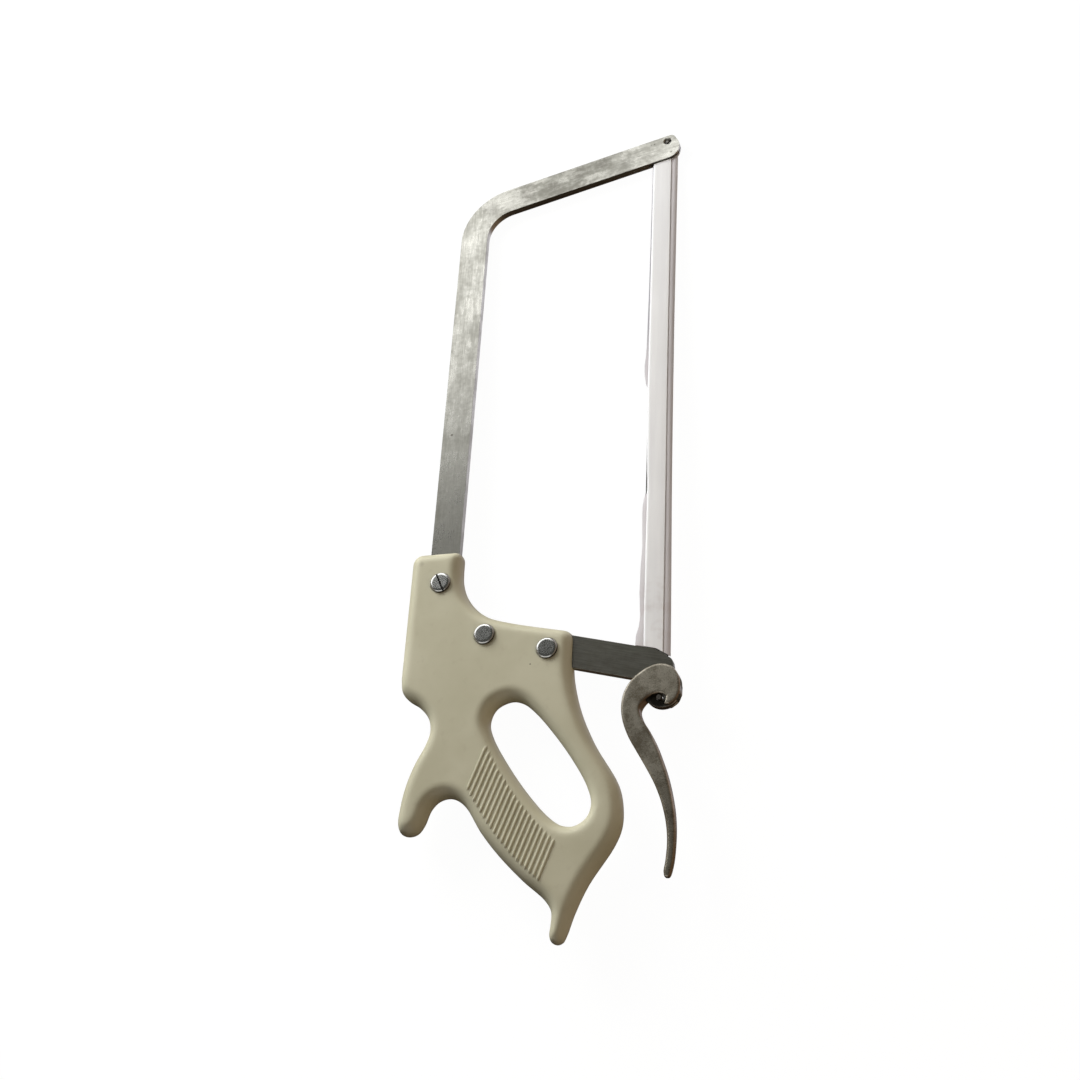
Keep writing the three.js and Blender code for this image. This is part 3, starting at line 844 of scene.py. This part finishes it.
bar = prism("frame_bar_ground", bar_outline(), -HALF_BAR_THICK, HALF_BAR_THICK)
combine(bar, [drum(LOBE_CENTRE, LOBE_RADIUS, -HALF_BAR_THICK, HALF_BAR_THICK, 96)], "UNION")
soften_edges(bar, ROLLED_EDGE, 4)
slot_half = HEEL_PIN_RADIUS + GAP
kerf_from, past_bar = BLADE_X - 12, BLADE_X + 65
past_tip, past_heel = 400, -80
combine(bar, [
    slab(kerf_from, past_bar, SPINE_LENGTH, past_tip, -KERF / 2, KERF / 2),
    slab(kerf_from, past_bar, past_heel, 0, -KERF / 2, KERF / 2),
    drum(TIP_PIN, TIP_HOLE_RADIUS, -FAR, FAR),
    drum(HEEL_PIN, slot_half, -FAR, FAR),
    slab(HEEL_PIN.x, past_bar, HEEL_PIN.y - slot_half, HEEL_PIN.y + slot_half, -FAR, FAR),
    *[drum((x, y), BARREL_RADIUS + GAP, -FAR, FAR) for _, x, y, _ in SCREWS],
], "DIFFERENCE")
sink_profile = [
    (0, 0.1), (TIP_HOLE_RADIUS + SINK_DEPTH, 0.1), (TIP_HOLE_RADIUS - 0.1, -SINK_DEPTH), (0, -SINK_DEPTH),
]
for side in (1, -1):
    sink = lathe("sink", sink_profile, 48)
    if side < 0:
        mirror_z(sink)
    sink.data.transform(Matrix.Translation((TIP_PIN.x, TIP_PIN.y, side * HALF_BAR_THICK)))
    combine(bar, [sink], "DIFFERENCE")
soften_edges(bar, BROKEN_EDGE, 2)
shade(bar, 40, flat_faces=True)
settle(bar, "root", "frame_steel", ground_steel, "frame_bar")

# ---------------------------------------------------------------- handle

handle_loops = [HANDLE_OUTLINE, GRIP_HOLE]
handle_field = Field(handle_loops, 0.5, 1.6)


def handle_face(spot):
    """Height of the handle's front face over a point of the drawing."""
    cosine, sine = direction(HANDLE_CREASE)
    r = HANDLE_ROUND / (1 - sine)
    outwards = HANDLE_ROUND - handle_field.at(np.array(spot.x), np.array(spot.y)) + r * sine
    arc = HANDLE_HALF - r * cosine + np.sqrt(np.maximum(r**2 - np.maximum(outwards, 0) ** 2, 0))
    return float(np.minimum(arc, HANDLE_HALF))


def rib(index):
    """A half-round bar that follows the face and runs out at both ends."""
    start = RIB_FIRST + RIB_STEP * index + RIB_BEND * index**2
    share = index / (RIB_COUNT - 1)
    length = RIB_LENGTHS[0] + (RIB_LENGTHS[1] - RIB_LENGTHS[0]) * share
    along = direction(RIB_ANGLE)
    side = along.orthogonal()
    steps, arcs = 24, 8
    points, faces = [], []
    for i in range(steps + 1):
        travel = length * i / steps
        end = min(travel, length - travel)
        rise = math.sqrt(max(0.0, 1 - (1 - min(1, end / RIB_RUN_OUT)) ** 2))
        middle = start + along * travel
        half_width = RIB_HALF_WIDTH * (RIB_END_WIDTH + (1 - RIB_END_WIDTH) * rise)
        for k in range(arcs + 1):
            turn = math.pi * k / arcs
            spot = middle + side * (half_width * math.cos(turn))
            points.append((spot.x, spot.y, handle_face(spot) - 0.04 + RIB_HIGH * math.sin(turn) * rise))
        for edge_side in (-1, 1):
            spot = middle + side * (edge_side * half_width)
            points.append((spot.x, spot.y, handle_face(spot) - RIB_SUNK))
    ring = arcs + 3
    for i in range(steps):
        for k in range(ring):
            n = (k + 1) % ring
            faces.append((i * ring + k, i * ring + n, (i + 1) * ring + n, (i + 1) * ring + k))
    faces.append(tuple(range(ring)))
    faces.append(tuple(range(steps * ring, (steps + 1) * ring)))
    return make_solid("rib", points, faces)


def half_of(whole, side):
    """The front (1) or back (-1) shell, cut at the seam."""
    bm = bmesh.new()
    bm.from_mesh(whole.data)
    bmesh.ops.bisect_plane(
        bm,
        geom=bm.verts[:] + bm.edges[:] + bm.faces[:],
        plane_co=(0, 0, side * SEAM / 2),
        plane_no=(0, 0, -side),
        clear_outer=True,
    )
    rim = [edge for edge in bm.edges if edge.is_boundary]
    bmesh.ops.triangle_fill(bm, use_beauty=True, edges=rim)
    bmesh.ops.recalc_face_normals(bm, faces=bm.faces)
    made = make_object("shell", [], [])
    bm.to_mesh(made.data)
    bm.free()
    return made


whole_handle = rounded_solid(
    "handle", handle_loops, handle_field,
    lambda x, y: HANDLE_HALF, lambda x, y: HANDLE_ROUND, 1.0, HANDLE_CREASE,
)
for side, end in ((1, "front"), (-1, "back")):
    shell = half_of(whole_handle, side)
    ribs = [rib(i) for i in range(RIB_COUNT)]
    if side < 0:
        ribs = [mirror_z(r) for r in ribs]
    combine(shell, ribs, "UNION")
    cuts = [prism("recess", bar_outline(GAP), -HALF_BAR_THICK - GAP, HALF_BAR_THICK + GAP)]
    for _, x, y, _ in SCREWS:
        cuts.append(drum((x, y), BARREL_RADIUS + GAP, -FAR, FAR))
        low, high = sorted((side * (HANDLE_HALF - HEAD_SEAT), side * FAR))
        cuts.append(drum((x, y), HEAD_RADIUS + GAP, low, high, 64))
    combine(shell, cuts, "DIFFERENCE")
    shell.name = f"handle_{end}_shell"
    shade(shell, 40)
    settle(shell, "root", "handle_plastic", plastic, f"handle_{end}_half")
bpy.data.objects.remove(whole_handle)

# ---------------------------------------------------------------- screws and barrel nuts


def head_profile(shank, length):
    """A flat head with a rounded rim, and its shank below."""
    face, h = HEAD_FACE, HEAD_HEIGHT
    rim = [
        (face + (HEAD_RADIUS - face) * math.sin(a), -HEAD_DROP * (1 - math.cos(a)))
        for a in (math.radians(k) for k in range(0, 91, 10))
    ]
    return [
        (0, 0.0), (face - 0.3, 0.0), *rim, (HEAD_RADIUS, -h), (shank, -h), (shank, -length + 0.4),
        (shank - 0.4, -length), (0, -length),
    ]


def turned_on(piece, x, y, front, angle):
    """Puts a screw or nut, made about Z with its top at z = 0, on the front or the back."""
    flip = Matrix.Identity(4) if front else Matrix.Rotation(math.pi, 4, "Y")
    spin = Matrix.Rotation(math.radians(angle), 4, "Z")
    shift = Matrix.Translation((x, y, HEAD_TOP if front else -HEAD_TOP))
    piece.data.transform(shift @ flip @ spin)


SCREW_LENGTH = HEAD_TOP + 5
NUT_LENGTH = HEAD_TOP + 5.5
for name, x, y, on_front in SCREWS:
    screw = lathe(f"screw_{name}", head_profile(SHANK_RADIUS, SCREW_LENGTH))
    combine(screw, [slab(-10, 10, -SLOT_WIDTH / 2, SLOT_WIDTH / 2, -SLOT_DEPTH, 1)], "DIFFERENCE")
    shade(screw, 30)
    turned_on(screw, x, y, on_front, SLOT_ANGLE[on_front])
    settle(screw, "root", "plated_screws", plated, f"handle_screw_{name}")
    nut = lathe(f"nut_{name}", head_profile(BARREL_RADIUS, NUT_LENGTH))
    bore = drum((0, 0), SHANK_RADIUS + GAP, -NUT_LENGTH - 1, -NUT_LENGTH + BARREL_BORE_DEPTH)
    combine(nut, [bore], "DIFFERENCE")
    shade(nut, 30)
    turned_on(nut, x, y, not on_front, 0)
    settle(nut, "root", "plated_screws", plated, f"barrel_nut_{name}")

# ---------------------------------------------------------------- lever

lever_field = Field([LEVER_OUTLINE], 0.2, 0.8)


def lever_half_thick(x, y):
    """Full at the head and neck, tapering down the tail."""
    start, end, loss = LEVER_TAPER
    return LEVER_HALF - loss * np.clip((np.asarray(y, float) - start) / (end - start), 0, 1.1)


def lever_edge(x, y):
    """A small radius round the head, a larger one down the tail."""
    small, large, start, end = LEVER_ROUND
    return small + (large - small) * np.clip((np.asarray(y, float) - start) / (end - start), 0, 1)


lever = rounded_solid("lever_cast", [LEVER_OUTLINE], lever_field, lever_half_thick, lever_edge, 0.4)
fork_half = LEVER_HALF - CHEEK_THICK
fork_left, fork_right = 100, 180
under_arm = low_line(-HALF_BAR - LOW_ARM_DEEPER - GAP)
fork = [
    meet(under_arm, LOW_ARM_TILT, (fork_left, 0), 90),
    meet(under_arm, LOW_ARM_TILT, (fork_right, 0), 90),
    Vector((fork_right, 0)),
    Vector((fork_left, 0)),
]
cuts = [
    prism("fork", fork, -fork_half, fork_half),
    drum(LOBE_CENTRE, LOBE_RADIUS + GAP + 0.1, -fork_half, fork_half, 96),
]
for k in range(7):  # room for the heel pin along its path, as the lever sees it
    turn = math.radians(LEVER_OPEN * k / 6)
    pin = Matrix.Rotation(turn * BLADE_SWING, 2) @ (HEEL_PIN - TIP_PIN) + TIP_PIN
    pin = Matrix.Rotation(-turn, 2) @ (pin - LOBE_CENTRE) + LOBE_CENTRE
    cuts.append(drum(pin, HEEL_PIN_RADIUS + GAP, -FAR, FAR))
combine(lever, cuts, "DIFFERENCE")
shade(lever, 40)
settle(lever, "tension_lever", "lever_casting", cast_steel, "tension_lever")

# ---------------------------------------------------------------- blade and its pins

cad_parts["blade"].data.materials.clear()
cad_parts["blade"].data.materials.append(blade_steel)


def cross_pin(name, centre, r, length, node_name):
    """A pin across the blade, with chamfered ends."""
    chamfer, half = 0.25, length / 2
    ends = [(0, half), (r - chamfer, half), (r, half - chamfer)]
    profile = ends + [(x, -z) for x, z in reversed(ends)]
    pin = lathe(name, profile, 32)
    pin.data.transform(Matrix.Translation((centre.x, centre.y, 0)))
    shade(pin, 30)
    settle(pin, "blade", "blade_steel", pin_steel_in_shade, node_name)


cross_pin("tip_pin", TIP_PIN, TIP_PIN_RADIUS, BAR_THICK - 0.6, "blade_tip_pin")
cross_pin("heel_pin", HEEL_PIN, HEEL_PIN_RADIUS, LEVER_THICK - 2, "blade_heel_pin")

# ---------------------------------------------------------------- paper sleeve

SLEEVE_TOP = -0.6
SLEEVE_BOTTOM = 0.9
PAPER = 0.25
WRAP_HALF = (0.92, 1.55)  # half the height of the inner and the outer wrap
FLAP_HALF = 0.14  # half the height of the inner wrap at its pressed edges
SLEEVE_COLUMNS = 12
SLEEVE_ROWS = 180
MIDWAY = 200  # a height up the sleeve
DIP_AT = 136  # the lower end of the sleeve dips from here
DIP_ANGLE = -31
RIPPLES = [(83, 0.10), (47, 0.07), (29, 0.04), (140, 0.10)]  # length and height of the sleeve's waves
RIPPLE_SHARE = 0.6
ripple_phases = np.random.default_rng(7).uniform(0, 6.28, len(RIPPLES))


def ripple(y):
    """The paper's long soft waves, in Z."""
    waves = zip(ripple_phases, RIPPLES)
    return sum(h * math.sin(2 * math.pi * y / length + p) for p, (length, h) in waves) * RIPPLE_SHARE


def follow(stops, at):
    """Straight lines between (position, value) stops."""
    positions, values = zip(*sorted(stops))
    return float(np.interp(at, positions, values))


# The outer wrap's fold, the inner wrap's torn left edge, the outer wrap's free edge and the inner wrap's
# right edge, as (y, x) up the blade
FOLD_LEFT = [
    (-30, 128.9), (0, 128.6), (50, 128.5), (86, 128.5), (120, 127.7), (159, 127.1), (250, 126.9),
    (345, 126.8),
]
FLAP_LEFT = [
    (-30, 123.2), (-12.7, 123.8), (-7, 125.4), (0, 126), (15, 125.2), (32.6, 125.5), (45.9, 126.2),
    (60, 125.7), (73.1, 125.6), (80, 126.8), (86.7, 128.2), (120, 127.6), (157, 127), (161, 125.5), (168, 124.6),
    (174.6, 124.3), (182, 125.1), (189.7, 125.4), (230, 125.9), (303, 126.2), (345, 126.3),
]
FREE_EDGE = [(-30, 140.3), (60, 140.0), (180, 139.4), (345, 139.2)]
RIGHT_EDGE = [(-30, 144.9), (20, 144.4), (90, 143.6), (200, 143.2), (345, 143.7)]
# How far the upper end rises under the tip's round corner, as (x, rise)
UNDER_TIP_CORNER = [(100, 0), (139.5, 0), (141.3, 0.9), (143.7, 2.4)]


def sleeve_ends(x):
    """Lowest and highest y of the sleeve at one x: it stops at the two arms."""
    top = meet((x, 0), 90, top_line(-HALF_BAR + SLEEVE_TOP), TOP_ARM_TILT).y
    top += follow(UNDER_TIP_CORNER, x)
    low = low_line(HALF_BAR + SLEEVE_BOTTOM)
    if x <= DIP_AT:
        return meet((x, 0), 90, low, LOW_ARM_TILT).y, top
    dip = meet((DIP_AT, 0), 90, low, LOW_ARM_TILT)
    return meet((x, 0), 90, dip, DIP_ANGLE).y, top


def paper_skin(rails):
    """A closed skin along rails, functions of y that give (x, z). Its ends slant with the arms, so the
    height of each point depends on its x, and is found in two steps."""
    points, faces = [], []
    count = len(rails)
    for i in range(SLEEVE_ROWS + 1):
        share = i / SLEEVE_ROWS
        for rail in rails:
            y = MIDWAY
            for _ in range(2):
                x, z = rail(y)
                low, top = sleeve_ends(x)
                y = low + (top - low) * share
            points.append((x, y, z))
    for i in range(SLEEVE_ROWS):
        for k in range(count):
            n = (k + 1) % count
            faces.append((i * count + k, i * count + n, (i + 1) * count + n, (i + 1) * count + k))
    return points, faces, count


def under_rails():
    """The inner wrap as a flat tube: an outer and an inner skin, with a flap on the left."""
    def skin(share, side, inside):
        def rail(y):
            left = follow(FLAP_LEFT, y)
            fold = follow(FOLD_LEFT, y) + 0.4
            right = follow(RIGHT_EDGE, y)
            if inside:
                left, right = fold, right - PAPER
            x = left + (right - left) * share
            full = WRAP_HALF[0] - (PAPER if inside else 0)
            slope = min(1.0, max(0.0, (x - left) / 3.0), max(0.0, (right - x) / 0.8))
            rise = 0.05 if inside else FLAP_HALF
            bulge = rise + (full - rise) * math.sin(slope * math.pi / 2)
            return x, side * bulge + ripple(y)
        return rail

    shares = [k / SLEEVE_COLUMNS for k in range(SLEEVE_COLUMNS + 1)]
    path = [(s, 1) for s in shares] + [(s, -1) for s in shares[::-1]]
    return tuple([skin(s, side, inside) for s, side in path] for inside in (False, True))


def tube(name, outer, inner):
    """Two closed skins joined at both ends, open through the middle."""
    points, faces, count = paper_skin(outer)
    more, more_faces, _ = paper_skin(inner)
    shift = len(points)
    faces += [tuple(i + shift for i in reversed(f)) for f in more_faces]
    points += more
    last = shift - count
    for k in range(count):
        n = (k + 1) % count
        faces.append((n, k, k + shift, n + shift))
        faces.append((last + k, last + n, last + n + shift, last + k + shift))
    return make_solid(name, points, faces)


def over_rails():
    """The outer wrap as one loop: out round the fold and back inside it, a paper's thickness away."""
    def skin(share, side, inside):
        def rail(y):
            fold = follow(FOLD_LEFT, y) - 0.3 + (PAPER if inside else 0)
            edge_x = follow(FREE_EDGE, y)
            x = fold + (edge_x - fold) * share
            full = WRAP_HALF[1] - (PAPER if inside else 0)
            slope = min(1.0, (x - fold) / 1.4)
            bulge = full * math.sqrt(max(0.0, 1 - (1 - slope) ** 2))
            lift = -0.22 * share**6
            return x, side * (bulge + lift) + ripple(y)
        return rail

    shares = [0, 0.02, 0.05, 0.1] + [k / SLEEVE_COLUMNS for k in range(2, SLEEVE_COLUMNS + 1)]
    path = [(s, 1) for s in shares[::-1]] + [(s, -1) for s in shares[1:]]
    loop = [skin(s, side, False) for s, side in path]
    loop += [skin(s, side, True) for s, side in path[::-1]]
    return loop


def strip(name, rails):
    """A skin that goes out and back, closed at both ends."""
    points, faces, count = paper_skin(rails)
    half = count // 2
    last = len(points) - count
    for k in range(half - 1):
        faces.append((k + 1, k, count - 1 - k, count - 2 - k))
        faces.append((last + k, last + k + 1, last + count - 2 - k, last + count - 1 - k))
    return make_solid(name, points, faces)


under = tube("sleeve_inner_wrap", *under_rails())
shade(under, 50)
settle(under, "blade", "sleeve_paper", shaded_under_paper, "sleeve_under")
over = strip("sleeve_outer_wrap", over_rails())
shade(over, 50)
settle(over, "blade", "sleeve_paper", over_paper, "sleeve_over")

# ---------------------------------------------------------------- stage, light and world

REST_HEAD_Y = -50.6 * MM  # the rim of the top screw's back head touches the floor here
FLOOR_TILT = math.atan2(bar_low.z, bar_high.y - REST_HEAD_Y)  # and the tip of the bar touches it too
FLOOR_HALF = 4.0

corners = [(-1, -1), (1, -1), (1, 1), (-1, 1)]
floor = make_object("floor", [(x * FLOOR_HALF, y * FLOOR_HALF, 0) for x, y in corners], [(0, 1, 2, 3)])
floor.matrix_world = (
    Matrix.Translation((0, REST_HEAD_Y, 0))
    @ Matrix.Rotation(FLOOR_TILT, 4, "X")
    @ Matrix.Translation((0, -REST_HEAD_Y, -0.0002))
)
floor_paint = bpy.data.materials.new("floor_paint")
open_nodes(floor_paint)
glow = node("Emission", {"Color": (1, 1, 1, 1), "Strength": 0.97})
matte = node("BsdfDiffuse", {"Color": (0.06, 0.06, 0.06, 1)})
both = node("AddShader", {0: glow.outputs[0], 1: matte.outputs[0]})
node("OutputMaterial", {"Surface": both.outputs[0]})
floor.data.materials.append(floor_paint)
floor.visible_diffuse = False
floor.visible_glossy = False
floor.visible_transmission = False


def area_light(name, towards, distance, size, watts, colour):
    """A soft panel that faces the saw from a direction given as (azimuth from +X, elevation)."""
    azimuth, elevation = (math.radians(a) for a in towards)
    level = math.cos(elevation)
    out = Vector((math.cos(azimuth) * level, math.sin(azimuth) * level, math.sin(elevation)))
    lamp = bpy.data.lights.new(name, "AREA")
    lamp.shape = "RECTANGLE"
    lamp.size, lamp.size_y = size
    lamp.energy = watts
    lamp.color = colour
    made = in_scene(name, lamp)
    made.location = out * distance
    made.rotation_mode = "QUATERNION"
    made.rotation_quaternion = out.to_track_quat("Z", "Y")
    return made


area_light("window", (124, 30), 1.7, (2.0, 1.3), 12.5, (1.0, 1.0, 0.985))
key = area_light("key", (137, 20), 1.25, (0.8, 0.5), 22, (1.0, 1.0, 0.975))
bounce = area_light("bounce", (-15, 38), 1.2, (1.2, 0.8), 2.6, (1.0, 0.80, 0.58))
far_panel = area_light("far_panel", (-105, 30), 1.7, (2.4, 1.5), 6, (1.0, 0.99, 0.97))
far_panel.visible_diffuse = False  # only seen as a reflection in the metal from behind
for lamp in (key, bounce):
    lamp.visible_glossy = False

world = bpy.data.worlds.new("studio")
bpy.context.scene.world = world
open_nodes(world)
aim = node("SeparateXYZ", {0: node("TexCoord").outputs["Generated"]})
side_x, side_y, height = (aim.outputs[k] for k in "XYZ")
above = remap(height, -0.15, 0.25, 0, 1)
overhead = remap(height, 0.3, 0.8, 0, 1)
room = mix(overhead, (0.20, 0.18, 0.15), (0.045, 0.045, 0.04))
warm = times(remap(side_x, 0.2, 0.7, 0, 1), remap(height, 0.75, 0.3, 0, 1))
room = mix(warm, room, (0.26, 0.20, 0.14))
bright = times(remap(side_x, 0.0, 0.3, 0, 1), remap(side_y, 0.2, 0.45, 0, 1))
brown = times(remap(side_x, 0.1, 0.3, 0, 1), remap(side_y, -0.55, -0.3, 0, 1))
table = mix(brown, (0.040, 0.026, 0.016), (0.20, 0.14, 0.09))
table = mix(bright, table, (0.85, 0.83, 0.90))
studio = mix(above, table, room)
seen = node("LightPath").outputs["Is Camera Ray"]
backdrop = mix(seen, studio, (1.0, 1.0, 1.0))
background = node("Background", {"Color": backdrop})
node("OutputWorld", {"Surface": background.outputs[0]})

bpy.context.scene.view_settings.view_transform = "Standard"
